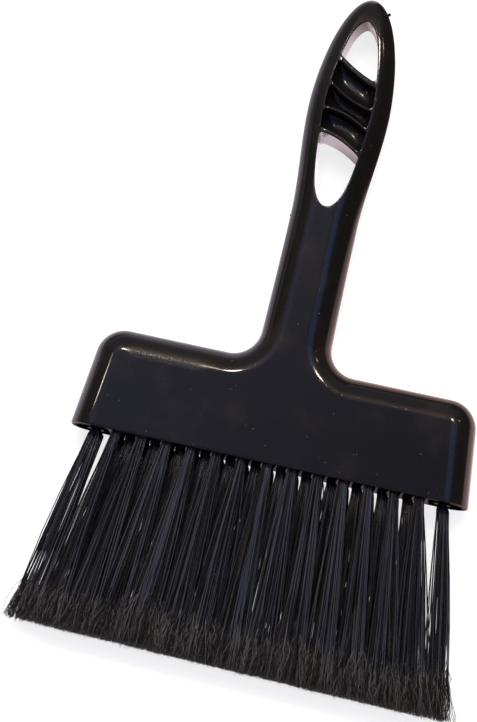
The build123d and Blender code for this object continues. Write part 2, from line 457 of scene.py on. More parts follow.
def gridPatch(rows, closed=True):
    return rows.reshape(-1, 3), [gridFaces(*rows.shape[:2], closed).reshape(-1, 4)]


def ease(t):
    return t * t * (3 - 2 * t)


def gripSection(m, length):
    # Half width, half thickness and corner radius of the handle's section at a length from the mouth.
    swell = ease(np.clip((length - m["neckLength"]) / m["gripRise"], 0, 1))
    widest = m["neckLength"] + m["gripRise"]
    closing = np.clip((length - widest) / m["tipRise"], 0, 1)
    widening = (m["gripHalf"] - m["neckHalf"]) * swell
    halfWidth = (m["neckHalf"] + widening) * np.sqrt(1 - closing ** m["tipFullness"])
    part = np.clip((length - m["neckLength"]) / (m["gripRise"] + m["tipRise"]), 0, 1)
    slab = m["thickness"] - (m["thickness"] - m["tipThickness"]) * ease(part)
    halfThickness = slab / 2 * np.sqrt(1 - part ** m["noseFullness"])
    radius = 2 * m["edgeRadius"] / m["thickness"] * np.minimum(halfWidth, halfThickness)
    return halfWidth, halfThickness, radius


def domeHeight(m, plan):
    # Front surface of the handle: flat in the middle, then round over the section's corner.
    halfWidth, halfThickness, radius = gripSection(m, plan[..., 1] - m["mouth"])
    over = np.clip(np.abs(plan[..., 0]) - (halfWidth - radius), 0, radius)
    return halfThickness - radius + np.sqrt(radius**2 - over**2)


def raised(plan, height):
    return np.concatenate([plan, height[..., None]], -1)


def arcPoints(centre, radius, start, end, steps):
    turn = np.radians(np.linspace(start, end, steps + 1))
    ray = np.stack([np.cos(turn), np.sin(turn)], -1)
    return np.array(centre) + radius * ray, ray


def headOutline(m):
    # Right half of the head's plan, from its side up to the top of the neck, with outward normals:
    # corner arc, shoulder, neck fillet, then the long hollow arc of the neck.
    shoulder = m["mouth"] + m["headHeight"]
    neckTop = m["mouth"] + m["neckLength"]
    taper = np.array([m["mouthHalf"] - m["shoulderHalf"], m["headHeight"]])
    sideNormal = taper[::-1] / np.hypot(*taper)
    cornerY = shoulder - m["cornerRadius"]
    reach = m["cornerRadius"] + sideNormal[1] * (cornerY - m["mouth"])
    cornerX = m["mouthHalf"] - reach / sideNormal[0]
    sideAngle = math.degrees(math.atan2(sideNormal[1], sideNormal[0]))
    corner, cornerRay = arcPoints((cornerX, cornerY), m["cornerRadius"], sideAngle, 90, 28)
    rise = neckTop - shoulder
    neckRadius = (rise**2 + m["neckFlare"] ** 2) / (2 * m["neckFlare"])
    neckX = m["neckHalf"] + neckRadius
    filletY = shoulder + m["neckFillet"]
    filletX = neckX - math.sqrt((neckRadius - m["neckFillet"]) ** 2 - (neckTop - filletY) ** 2)
    meet = 180 + math.degrees(math.atan2(neckTop - filletY, neckX - filletX))
    fillet, filletRay = arcPoints((filletX, filletY), m["neckFillet"], 270, meet, 32)
    neck, neckRay = arcPoints((neckX, neckTop), neckRadius, meet, 180, 24)
    shoulderX = np.linspace(cornerX, filletX, 12)[1:-1]
    level = np.stack([shoulderX, np.full(10, shoulder)], -1)
    points = np.concatenate([corner, level, fillet, neck[1:]])
    normals = np.concatenate([cornerRay, np.tile([0.0, 1.0], (10, 1)), -filletRay, -neckRay[1:]])
    return points, normals, sideNormal


def edgeColumns(m):
    # Edge profile from the front flat over the round, the land with its parting line, and back.
    turn = np.radians(np.linspace(90, 0, m["edgeSteps"] + 1))
    flat, land = np.ones(len(turn)), np.array([0.25, 0.0, -0.25])
    inward = np.concatenate([1 - np.cos(turn), 0 * land, 1 - np.cos(turn[::-1])])
    upward = np.concatenate([np.sin(turn), 0 * land, -np.sin(turn[::-1])])
    onLand = np.concatenate([flat, land, -flat])
    parting = (onLand == 0).astype(float)
    return inward, upward, onLand, parting


def rightSide(m, random):
    # The edge profile carried along the right half of the outline, from the mouth to the tip. Head and
    # neck: square to the outline. Handle: in sections square to Y.
    inward, upward, onLand, parting = edgeColumns(m)
    outline, normals, sideNormal = headOutline(m)
    tipLength = m["neckLength"] + m["gripRise"] + m["tipRise"]
    noseStart = tipLength - m["noseLength"]
    grip = np.linspace(m["neckLength"], noseStart, 104)[1:]
    nose = tipLength - m["noseLength"] * (1 - np.linspace(0, 1, 22)[1:]) ** 2
    lengths = np.concatenate([grip, nose])
    halfWidth, halfThickness, radius = gripSection(m, lengths)
    places = np.concatenate([outline, np.stack([halfWidth, m["mouth"] + lengths], -1)])
    normals = np.concatenate([normals, np.tile([1.0, 0.0], (len(lengths), 1))])
    edge = np.full(len(outline), m["edgeRadius"])
    radii = np.concatenate([edge, radius])
    land = np.concatenate([m["thickness"] / 2 - edge, halfThickness - radius])
    ragged = np.convolve(random.uniform(0, 1, len(places) + 4), np.ones(5) / 5, "valid")
    proud = m["flash"] * ragged * np.minimum(1, radii / m["edgeRadius"])
    depth = radii[:, None] * inward - proud[:, None] * parting
    plan = places[:, None, :] - normals[:, None, :] * depth[:, :, None]
    height = land[:, None] * onLand + radii[:, None] * upward
    side = raised(plan, height)
    # Straight side: slide the corner's profile down its own ruling to a level line above the mouth.
    down = np.array([sideNormal[1], -sideNormal[0], 0])
    level = m["mouth"] + m["mouthEdge"]
    run = (side[0, :, 1] - level) / sideNormal[0]
    share = np.linspace(1, 0, 10)[:-1]
    straight = side[0][None] + share[:, None, None] * run[None, :, None] * down
    return np.concatenate([straight, side]), len(straight) + len(outline) - 1, len(grip)


def mouthRings(m, first):
    # The small round at the mouth: level section rings that shrink as they drop.
    inward, upward = edgeColumns(m)[:2]
    turn = np.linspace(0, np.pi / 2, 6)
    drop = m["mouthEdge"] * np.sin(turn)
    inset = m["mouthEdge"] * (1 - np.cos(turn))
    flare = (m["mouthHalf"] - m["shoulderHalf"]) / m["headHeight"]
    x = first[:, 0] + flare * drop[:, None] - inset[:, None] * (1 - inward)
    y = np.broadcast_to((m["mouth"] + m["mouthEdge"] - drop)[:, None], x.shape)
    z = first[:, 2] - inset[:, None] * upward
    right = np.stack([x, y, z], -1)
    left = (right * [-1, 1, 1])[:, ::-1]
    return np.concatenate([right, left], axis=1)


def openingHalfWidth(m, length):
    # The grip's half width less its rail, closed at both ends as a blunt curve.
    middle = gripSection(m, length)[0] - m["railWidth"]
    fromTop = (length - m["upperEnd"] + m["upperTaper"]) / m["upperTaper"]
    fromBottom = (m["lowerEnd"] + m["lowerTaper"] - length) / m["lowerTaper"]
    closing = np.clip(np.maximum(fromTop, fromBottom), 0, 1)
    return middle * np.sqrt(1 - closing ** m["openingFullness"])


def ribLine(m, rib, x, offset):
    # Parabola through a rib's three heights, moved by a share of its thickness.
    left, middle, right, thickness = rib
    slope = (right - left) / (2 * m["ribReach"])
    bow = ((right + left) / 2 - middle) / m["ribReach"] ** 2
    return m["neckLength"] + m["gripRise"] + middle + slope * x + bow * x**2 + offset * thickness


def roundedLoop(curves, radius):
    # Joins open curves, run anticlockwise, by arcs centred where the curves' inward offsets meet.
    along = [np.gradient(curve, axis=0) for curve in curves]
    inward = [np.stack([-t[:, 1], t[:, 0]], -1) / np.hypot(*t.T)[:, None] for t in along]
    inner = [curve + radius * normal for curve, normal in zip(curves, inward)]
    half = len(curves[0]) // 2
    leave, enter = [], []
    for here, there in zip(inner, inner[1:] + inner[:1]):
        gap = np.hypot(*(here[half:, None] - there[None, :half]).transpose(2, 0, 1))
        i, j = np.unravel_index(gap.argmin(), gap.shape)
        leave.append(i + half)
        enter.append(j)
    parts = []
    for k, curve in enumerate(curves):
        after = (k + 1) % len(curves)
        parts.append(curve[enter[k - 1]:leave[k]])
        centre = inner[k][leave[k]]
        first, last = curve[leave[k]] - centre, curves[after][enter[k]] - centre
        start = math.atan2(first[1], first[0])
        turn = (math.atan2(last[1], last[0]) - start) % (2 * math.pi)
        angles = start + turn * np.linspace(0, 1, 60)
        parts.append(centre + radius * np.stack([np.cos(angles), np.sin(angles)], -1))
    return np.concatenate(parts)


def evenLoop(loop, step):
    # Even steps round a closed line, after a short moving mean, with outward normals.
    loop = np.concatenate([loop, loop[:1]])
    walked = np.concatenate([[0], np.cumsum(np.hypot(*np.diff(loop, axis=0).T))])
    count = int(walked[-1] / step) * 8
    even = np.linspace(0, walked[-1], count, endpoint=False)
    fine = np.stack([np.interp(even, walked, loop[:, 0]), np.interp(even, walked, loop[:, 1])], -1)
    loop = np.mean([np.roll(fine, k, axis=0) for k in range(-3, 4)], axis=0)[::8]
    along = np.roll(loop, -1, axis=0) - np.roll(loop, 1, axis=0)
    outward = np.stack([along[:, 1], -along[:, 0]], -1)
    return loop, outward / np.hypot(*outward.T)[:, None]


def cutLoop(m, lower, upper, corner):
    # Plan of one opening or pocket, run anticlockwise: up the right rail, along the upper rib, down the
    # left rail and back along the lower rib. A rib of None stands for the closed end of the space
    # between the rails, where both rails are one curve.
    def ends(rib, offset, closedEnd):
        if rib is None:
            return closedEnd, closedEnd
        lengths = np.linspace(125, 182, 400)
        x = openingHalfWidth(m, lengths)
        return tuple(np.interp(0, lengths - ribLine(m, rib, s * x, offset), lengths) for s in (1, -1))

    def rib(line, offset, x):
        return np.stack([x, ribLine(m, line, x, offset)], -1)

    rightLow, leftLow = ends(lower, 0.5, m["lowerEnd"])
    rightHigh, leftHigh = ends(upper, -0.5, m["upperEnd"])
    wave = (1 - np.cos(np.linspace(0, np.pi, 500))) / 2
    right, left = rightLow + (rightHigh - rightLow) * wave, leftHigh + (leftLow - leftHigh) * wave
    right = np.stack([openingHalfWidth(m, right), right], -1)
    left = np.stack([-openingHalfWidth(m, left), left], -1)
    if upper is None:
        foot = rib(lower, 0.5, np.linspace(left[-1, 0], right[0, 0], 1000))
        curves = [np.concatenate([right, left[1:]]), foot]
    elif lower is None:
        head = rib(upper, -0.5, np.linspace(right[-1, 0], left[0, 0], 1000))
        curves = [np.concatenate([left, right[1:]]), head]
    else:
        curves = [right, rib(upper, -0.5, np.linspace(right[-1, 0], left[0, 0], 500)),
                  left, rib(lower, 0.5, np.linspace(left[-1, 0], right[0, 0], 500))]
    loop, outward = evenLoop(roundedLoop(curves, corner), m["loopStep"])
    return loop + [0, m["mouth"]], outward


def rimArc(m, loop, outward, rim):
    # Quarter round from the front surface into the wall of a cut.
    turn = np.linspace(0, np.pi / 2, 7)
    plan = loop[:, None, :] + outward[:, None, :] * (rim * (1 - np.sin(turn)))[None, :, None]
    return raised(plan, domeHeight(m, plan) - rim * (1 - np.cos(turn)))


def between(first, last, steps):
    share = np.linspace(0, 1, steps + 1)[1:-1]
    return first[:, None, :] + (last - first)[:, None, :] * share[None, :, None]


def dishHeight(m, plan, lower, upper):
    # Pocket floor: rises across the handle by a high power of the distance from its middle, and along it
    # by the square towards both ribs, with a slight fall towards the tip.
    x, length = plan[..., 0], plan[..., 1] - m["mouth"]
    low, high = ribLine(m, lower, x, 0.5), ribLine(m, upper, x, -0.5)
    offCentre = (2 * length - low - high) / (high - low)
    across = m["dishDepth"] * np.abs(x / m["ribReach"]) ** m["dishFullness"]
    fall = m["dishTilt"] * (length - (low + high) / 2)
    return m["webHalf"] + across + m["dishRise"] * offCentre**2 - fall


def anticlockwise(loop):
    x, y = loop.T
    return loop if np.sum(x * np.roll(y, -1) - y * np.roll(x, -1)) > 0 else loop[::-1]


def fillRegion(loops, step=0):
    # Triangles over a plane region inside its first loop and outside the others, with even points in
    # between where a step is given.
    loops = [anticlockwise(loop) for loop in loops]
    border = np.concatenate(loops)
    starts = np.cumsum([0] + [len(loop) for loop in loops])
    rings = [list(range(a, b)) for a, b in zip(starts, starts[1:])]
    points = border
    if step:
        low, high = border.min(0), border.max(0)
        x = np.arange(low[0], high[0], step)
        y = np.arange(low[1], high[1], step * math.sqrt(3) / 2)
        inner = np.stack(np.meshgrid(x, y), -1)
        inner[1::2, :, 0] += step / 2
        inner = inner.reshape(-1, 2)
        parts = np.array_split(inner, 30)
        near = [np.hypot(*(part[:, None] - border[None]).transpose(2, 0, 1)).min(1) for part in parts]
        points = np.concatenate([border, inner[np.concatenate(near) > 0.6 * step]])
    corners = [Vector(p) for p in points.tolist()]
    flat, _, faces, _, _, owners = delaunay_2d_cdt(corners, [], rings, 1, 1e-6)
    flat, faces = np.array([tuple(v) for v in flat]), np.array(faces)
    faces = faces[[owner == [0] for owner in owners]]
    used, faces = np.unique(faces, return_inverse=True)
    return flat[used], faces.reshape(-1, 3)


def upsideDown(points):
    return points * [1, 1, -1]


def handleFront(m, side, neckRow, gripRows, nose):
    # Everything between the two edge bands on one face of the handle: the domed field, the rims and
    # walls of the openings, and the pockets.
    edgeBand = m["edgeSteps"] // 2
    right = side[neckRow:neckRow + gripRows + 1]
    turnOver = np.array([-1, 1])
    upTop = right[-1, edgeBand - 1::-1, :2]
    downBottom = right[0, :edgeBand, :2]
    bottomX = np.linspace(-right[0, 0, 0], right[0, 0, 0], 9)[1:-1]
    bottom = np.stack([bottomX, np.full(7, right[0, 0, 1])], -1)
    edge = right[:, edgeBand, :2]
    top = nose[0, 1:-1, :2]
    outer = np.concatenate([edge, upTop, top, (upTop * turnOver)[::-1], (edge * turnOver)[::-1],
                            (downBottom * turnOver)[::-1], bottom, downBottom])
    ribs = m["ribs"]
    patches, cuts = [], []
    for lower, upper in ((ribs[0], None), (None, ribs[-1])):
        loop, outward = cutLoop(m, lower, upper, m["openingCorner"])
        rim = rimArc(m, loop, outward, m["openingRim"])
        middle = rim[:, -1] * [1, 1, 0]
        sleeve = np.concatenate([rim, between(rim[:, -1], middle, 4), middle[:, None]], axis=1)
        cuts.append(rim[:, 0, :2])
        patches.append(gridPatch(sleeve.transpose(1, 0, 2)))
    for upper, lower in zip(ribs, ribs[1:]):
        loop, outward = cutLoop(m, lower, upper, m["pocketCorner"])
        rim = rimArc(m, loop, outward, m["pocketRim"])
        turn = np.linspace(0, np.pi / 2, 8)
        fillet = m["floorFillet"]
        plan = loop[:, None, :] - outward[:, None, :] * (fillet * (1 - np.cos(turn)))[None, :, None]
        foot = raised(plan, dishHeight(m, plan, lower, upper) + fillet * (1 - np.sin(turn)))
        sleeve = np.concatenate([rim, between(rim[:, -1], foot[:, 0], 5), foot], axis=1)
        cuts.append(rim[:, 0, :2])
        patches.append(gridPatch(sleeve.transpose(1, 0, 2)))
        flat, faces = fillRegion([plan[:, -1]], m["floorStep"])
        patches.append((raised(flat, dishHeight(m, flat, lower, upper)), [faces]))
    flat, faces = fillRegion([outer] + cuts, m["fieldStep"])
    patches.append((raised(flat, domeHeight(m, flat)), [faces]))
    return patches, bottom


def circleLoop(x, z, radius, steps=28):
    turn = np.linspace(0, 2 * np.pi, steps, endpoint=False)
    return np.stack([x + radius * np.cos(turn), z + radius * np.sin(turn)], -1)


def onLevel(flat, y):
    return np.stack([flat[:, 0], np.full(len(flat), y), flat[:, 1]], -1)


def prismWalls(loop, start, end, divisions=1):
    # Walls square to the mouth, over a loop given in x and z.
    return gridPatch(np.stack([onLevel(loop, y) for y in np.linspace(start, end, divisions + 1)]))


def hollowLoop(m, side):
    # Hollow beside an end tuft: the head's section less its wall, cut straight towards the rows.
    half = m["thickness"] / 2 - m["hollowWall"]
    radius = half - (m["thickness"] / 2 - m["edgeRadius"])
    centre = m["mouthHalf"] - m["hollowWall"] - radius
    upper = arcPoints((centre, half - radius), radius, 90, 0, 14)[0]
    lower = upper[::-1] * [1, -1]
    loop = np.concatenate([[[m["hollowStart"], half]], upper, lower, [[m["hollowStart"], -half]]])
    return loop * [side, 1]


def mouthFace(m, ring, tufts, endOffset):
    # The mouth: its flat with the tuft holes, and a hollow with a boss at each end.
    mouth, floor = m["mouth"], m["mouth"] + m["hollowDepth"]
    holes = [circleLoop(x, z, m["holeRadius"]) for x, z in tufts]
    inRows = [hole for hole, (x, z) in zip(holes, tufts) if abs(x) < m["hollowStart"]]
    hollows = [hollowLoop(m, side) for side in (1, -1)]
    flat, faces = fillRegion([ring[:, [0, 2]]] + inRows + hollows)
    patches = [(onLevel(flat, mouth), [faces])]
    for hole in holes:
        points, walls = prismWalls(hole, mouth, mouth + m["holeDepth"])
        patches.append((points, walls + [np.arange(len(hole), 2 * len(hole))[None]]))
    for side, hollow in zip((1, -1), hollows):
        boss = circleLoop(side * endOffset, 0, m["bossRadius"])
        patches += [prismWalls(loop, mouth, floor, 3) for loop in (hollow, boss)]
        flat, faces = fillRegion([hollow, boss])
        patches.append((onLevel(flat, floor), [faces]))
        rim = (boss, circleLoop(side * endOffset, 0, m["holeRadius"]))
        patches.append(gridPatch(np.stack([onLevel(loop, mouth) for loop in rim])))
    return patches


def mouldingPatches(m, tufts, endOffset, random):
    side, neckRow, gripRows = rightSide(m, random)
    rows, columns = side.shape[:2]
    edgeBand = m["edgeSteps"] // 2
    quads = gridFaces(rows, columns)
    row, column = np.indices(quads.shape[:2])
    onGrip = (row >= neckRow) & (row < neckRow + gripRows)
    inField = (column < edgeBand) | (column >= columns - 1 - edgeBand)
    kept = quads[~(onGrip & inField)]
    patches = [(side.reshape(-1, 3) * [s, 1, 1], [kept]) for s in (1, -1)]
    crown = side[neckRow + gripRows:, 0]
    share = np.linspace(1, -1, 7)
    nose = np.stack([crown[:, :1] * share, np.repeat(crown[:, 1:2], 7, 1), np.repeat(crown[:, 2:], 7, 1)], -1)
    front, bottom = handleFront(m, side, neckRow, gripRows, nose)
    front.append(gridPatch(nose, False))
    border = side[:neckRow + 1, 0]
    neckLine = raised(bottom[::-1], np.full(len(bottom), border[-1, 2]))
    flat = np.concatenate([border, neckLine, border[::-1] * [-1, 1, 1]])
    front.append((flat, [np.arange(len(flat))[None]]))
    patches += front + [(upsideDown(points), faces) for points, faces in front]
    rings = mouthRings(m, side[0])
    patches.append(gridPatch(rings))
    patches += mouthFace(m, rings[-1], tufts, endOffset)
    return patches


def glossBlack(settings):
    # Moulded gloss: a sharp coat over a hazier body, waved by sink marks, pricked by orange peel,
    # with hairline scratches both ways, a scuffed left shoulder and worn pockets, a thin brownish film in
    # places and a little dust.
    material, make = newMaterial("glossBlackMoulding")
    place = objectPlace(make)
    waves = noise(make, stretched(make, settings["waveStretch"]), settings["waveScale"], 1.0)
    peel = noise(make, place, settings["peelScale"], 1.0)
    height = chain(make, "ADD", times(make, waves, settings["waveHeight"]),
                   times(make, peel, settings["peelHeight"]))
    hairline = 0.0
    for scale in settings["scratchScales"]:
        lines = smooth(make, noise(make, stretched(make, scale), 1.0, 3.0), *settings["scratchShare"])
        hairline = chain(make, "MAXIMUM", lines, hairline)
    cells = make("TexVoronoi", {"Vector": place, "Scale": settings["dustScale"]}).outputs
    grain = make("SeparateColor", {0: cells["Color"]}).outputs[0]
    dust = times(make, smooth(make, cells["Distance"], *settings["dustReach"]),
                 smooth(make, grain, *settings["dustShare"]))
    height = chain(make, "ADD", height, times(make, hairline, -settings["scratchDepth"]))
    bump = make("Bump", {"Height": height, "Strength": 1.0, "Distance": 1.0}).outputs[0]
    smudge = noise(make, place, settings["smudgeScale"], 4.0)
    polish = ranged(make, smudge, 0.35, 0.7, settings["coatPolish"])
    haze = ranged(make, smudge, 0.3, 0.7, settings["bodyHaze"])
    split = make("SeparateXYZ", {0: place}).outputs
    speckle = ranged(make, noise(make, place, settings["speckleScale"], 3.0), 0.35, 0.6, settings["scuffRub"])
    scuff = times(make, region(make, split, settings["scuffed"]), speckle)
    pockets = times(make, region(make, split, settings["worn"]), settings["pocketRub"])
    rub = chain(make, "MAXIMUM", times(make, hairline, settings["scratchRub"]), scuff, pockets)
    film = smooth(make, smudge, *settings["filmShare"])
    body = mixed(make, film, settings["baseColour"], settings["filmColour"])
    plastic = make("BsdfPrincipled", {
        "Base Color": mixed(make, dust, body, settings["dustColour"]),
        "Roughness": haze,
        "Specular IOR Level": settings["specular"],
        "Coat Weight": settings["coat"],
        "Coat Roughness": chain(make, "ADD", polish, rub),
        "Normal": bump,
        "Coat Normal": bump,
    })
    make("OutputMaterial", {"Surface": plastic.outputs[0]})
    return material


def stub(base, direction, radii, reach, random):
    # A small ragged round stub along a level direction: rings of uneven radius, closed by end faces.
    steps = 12
    turn = np.linspace(0, 2 * np.pi, steps, endpoint=False)
    across = np.array([-direction[1], direction[0], 0.0])
    ray = np.cos(turn)[:, None] * across + np.sin(turn)[:, None] * np.array([0, 0, 1.0])
    uneven = 1 + random.uniform(-0.16, 0.16, (len(radii), steps, 1))
    stands = np.array(reach)[:, None, None] + random.uniform(-0.12, 0.12, (len(radii), steps, 1))
    rings = np.array(base) + stands * np.append(direction, 0) + np.array(radii)[:, None, None] * uneven * ray
    ends = [np.arange(steps)[None], np.arange((len(radii) - 1) * steps, len(radii) * steps)[None]]
    points, walls = gridPatch(rings)
    return points, walls + ends


def mouldMarks(m, random):
    # What the mould leaves: the broken-off gate beside the tip and a nib of flash on the neck's left.
    length = m["gateLength"]
    x = gripSection(m, length)[0]
    slope = (gripSection(m, length + 0.1)[0] - x) / 0.1
    direction = np.array([1, -slope]) / math.hypot(1, slope)
    place = (x, m["mouth"] + length, 0)
    gate = stub(place, direction, m["gateRadii"], m["gateReach"], random)
    place = (-m["neckHalf"], m["mouth"] + m["nibLength"], 0)
    nib = stub(place, np.array([-1.0, 0.0]), m["nibRadii"], m["nibReach"], random)
    return [gate, nib]


def joinPatches(patches):
    starts = np.cumsum([0] + [len(points) for points, _ in patches[:-1]])
    points = np.concatenate([points for points, _ in patches])
    return points, [faces + start for (_, sets), start in zip(patches, starts) for faces in sets]


def addMoulding(m, places):
    random = np.random.default_rng(7)
    ends = [x for x, z in places if abs(x) > m["hollowStart"]]
    tufts = [(x, z - m["thickness"] / 2) for x, z in places]
    patches = mouldingPatches(m, tufts, max(ends), random) + mouldMarks(m, random)
    points, faceSets = joinPatches(patches)
    points = (points + [0, 0, m["thickness"] / 2]) * mm
    piece = buildMesh("handleBlock", points, faceSets)
    work = bmesh.new()
    work.from_mesh(piece.data)
    bmesh.ops.remove_doubles(work, verts=work.verts, dist=2e-6)
    bmesh.ops.recalc_face_normals(work, faces=work.faces)
    for edge in work.edges:
        edge.smooth = edge.calc_face_angle(0) < m["creaseAngle"]
    work.to_mesh(piece.data)
    work.free()
    normals = piece.modifiers.new("evenNormals", "WEIGHTED_NORMAL")
    normals.keep_sharp = True
    piece.data.materials.append(glossBlack(m))
    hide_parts("handle_block")
    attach(piece, "root")


def tuftPlaces(mouth):
    # Root centre of every tuft in millimetres, read from the part of its CAD solid inside the head.
    places = {}
    for name in sorted(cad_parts):
        if name.startswith("tuft_"):
            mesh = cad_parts[name].data
            points = np.empty(len(mesh.vertices) * 3)
            mesh.vertices.foreach_get("co", points)
            root = points.reshape(-1, 3)
            root = root[root[:, 1] > mouth + 5 * mm]
            places[name] = tuple((root.min(0) + root.max(0))[[0, 2]] / 2 / mm)
    return places


places = tuftPlaces(moulding["mouth"] * mm)
addMoulding(moulding, list(places.values()))
print("moulding made")


# Filament tufts
filaments = {
    "perTuft": 66,
    "hairsEach": 5,
    "mouth": moulding["mouth"] * mm,
    "length": 83.4 * mm,
    "lengthSlope": 0.016,
    "trimScatter": 0.35 * mm,
    "rootRadius": 1.80 * mm,
    "shaftRadius": 0.225 * mm,
    "coreRadius": 0.12 * mm,
    "hairRadius": 0.105 * mm,
    "fanRatio": 1.19,
    "fanLean": 1.5 * mm,
    "rowValues": ("splay", "lean", "leanByX", "fanHalf", "stray", "tone", "hairReach", "fullness"),
    "rows": {  # lean, fan half width and stray in millimetres
        # The sixth value scales a row's painted light; below 1 it is painted shade, on the middle and back
        # rows.
        "front": (1.08, 0.0, 0.0, 6.6, 0.8, 1.0, 1.0, 1.0),
        "middle": (1.28, 0.85, 0.0, 7.2, 2.0, 0.45, 1.0, 1.25),
        "back": (1.26, 0.2, -0.010, 7.2, 2.0, 0.5, 1.0, 1.3),
        "endLeft": (1.80, 0.9, 0.0, 5.6, 1.0, 1.0, 0.6, 1.15),
        "endRight": (1.45, 0.3, 0.0, 5.4, 1.0, 1.0, 0.6, 1.15),
    },
    "stations": (-13.6, -0.5, 0.4, 2.2, 14.0, 28.0, 46.0, 66.0),  # millimetres below the mouth
    "lastStation": 9 * mm,
    "splayDepth": 2.2 * mm,
    "openAcross": 1.4,
    "strayAcross": 0.7 * mm,
    "bow": 0.8 * mm,
    "flagStart": 65.5 * mm,
    "flagByTuft": 1.7 * mm,
    "flagScatter": 2.5 * mm,
    "splitRange": 7 * mm,
    "shortest": 4 * mm,
    "hairReach": 3.2 * mm,  # for a hair of the next length
    "hairLength": 16 * mm,
    "hairSpread": (1.6, 0.6),  # shape and scale of a gamma distribution
    "widest": 2.2,
    "hairFlatness": 0.6,
    "hairCurl": 0.7,
    "hairKink": 0.48 * mm,
    "hairThinning": (1.25, 0.65),
    "anchorRoom": 0.45 * mm,
    "lowest": (-95.3 * mm, 0.3 * mm),
    "highest": (98.4 * mm, 21.8 * mm),
    "litShafts": 0.38,
    "litHairs": 0.24,
    # Each pair runs from painted shade to painted light; the lit shaft colour is a bluish painted reflection.
    "shaftColours": [(0.0012, 0.0012, 0.0014), (0.052, 0.060, 0.088)],
    "hairColours": [(0.0022, 0.0021, 0.0022), (0.184, 0.188, 0.196)],
    "litTones": (0.5, 1.0),
    "darkTones": (0.0, 0.15),
    # Painted warm glint: a share of shafts, and hairs now and then, are tinted brown.
    "warmShafts": 0.22,
    "warmTint": (1.20, 0.92, 0.66),
    "grainScale": 900.0,
    "sheen": (0.26, 0.44),
}


def tubes(centres, radii, sides):
    # Closed tubes: at each centre a ring of the given radius in the plane of X and Z. The lines run
    # towards -Y, so that rings wound from X to Z face outwards.
    count, rings = radii.shape
    turn = 2 * np.pi * (np.arange(sides) + 0.5) / sides
    around = np.stack([np.cos(turn), np.zeros(sides), np.sin(turn)], axis=-1)
    points = centres[:, :, None, :] + radii[:, :, None, None] * around
    tube = np.arange(count)[:, None, None] * rings * sides
    ring = np.arange(rings - 1)[None, :, None] * sides
    k = np.arange(sides)[None, None, :]
    after = (k + 1) % sides
    here, there = tube + ring, tube + ring + sides
    walls = np.stack([here + k, here + after, there + after, there + k], axis=-1).reshape(-1, 4)
    first = tube[:, :, 0] + np.arange(sides)[::-1]
    last = tube[:, :, 0] + (rings - 1) * sides + np.arange(sides)
    return points.reshape(-1, 3), walls, np.concatenate([first, last])


def filamentLines(settings, row, x, z, random):
    # Sunflower places in the root, which spread as they leave the hole. Then each runs straight to the
    # tip, with a half-sine bow and a normal stray, so that the round root opens into a flat fan with its
    # filaments evenly spaced along the head.
    lean = row["lean"] * mm + row["leanByX"] * x
    count = settings["perTuft"]
    j = np.arange(count)
    share = np.sqrt((j + 0.5) / count)
    angle = j * math.pi * (3 - math.sqrt(5)) + random.uniform(0, 2 * np.pi)
    rootX = settings["rootRadius"] * share * np.cos(angle)
    rootZ = settings["rootRadius"] * share * np.sin(angle)
    stray = np.clip(random.normal(0, 1, (4, count)), -2, 2)
    across = share * np.cos(angle)
    even = (across * np.sqrt(1 - across**2) + np.arcsin(across)) * 2 / np.pi
    fan = (row["fanHalf"] * even + row["stray"] * stray[0]) * mm
    tipX = x * settings["fanRatio"] + settings["fanLean"] + fan
    tipZ = z + settings["openAcross"] * rootZ + settings["strayAcross"] * stray[1]
    uneven = settings["trimScatter"] * random.normal(0, 1, count)
    length = settings["length"] + settings["lengthSlope"] * tipX + uneven
    stations = np.repeat(np.array(settings["stations"])[None] * mm, count, 0)
    below = np.concatenate([stations, (length - settings["lastStation"])[:, None], length[:, None]], 1)
    part = np.clip(below / length[:, None], 0, 1)
    bow = settings["bow"] * np.sin(np.pi * part)
    out = np.clip(below / settings["splayDepth"], 0, 1)
    startX = rootX[:, None] * (1 + (row["splay"] - 1) * out) + lean * out
    startZ = rootZ[:, None] * (1 + (row["splay"] - 1) * out)
    lineX = x + startX + (tipX[:, None] - x - startX) * part + bow * stray[2][:, None]
    lineZ = z + startZ + (tipZ[:, None] - z - startZ) * part + 0.5 * bow * stray[3][:, None]
    side = np.where(rootZ >= 0, 1.0, -1.0)
    lineZ[:, 0] = z + side * np.maximum(np.abs(rootZ), settings["anchorRoom"])
    lineZ = np.clip(lineZ, settings["lowest"][1], settings["highest"][1])
    return np.stack([lineX, settings["mouth"] - below, lineZ], axis=-1), below, length


def pointOn(lines, below, place):
    # Point of each line at a distance below the mouth, read straight between its stations.
    count = len(lines)
    rows = np.arange(count)
    index = np.clip((below < place[:, None]).sum(axis=1), 1, below.shape[1] - 1)
    low, high = below[rows, index - 1], below[rows, index]
    share = ((place - low) / (high - low))[:, None]
    return lines[rows, index - 1] * (1 - share) + lines[rows, index] * share


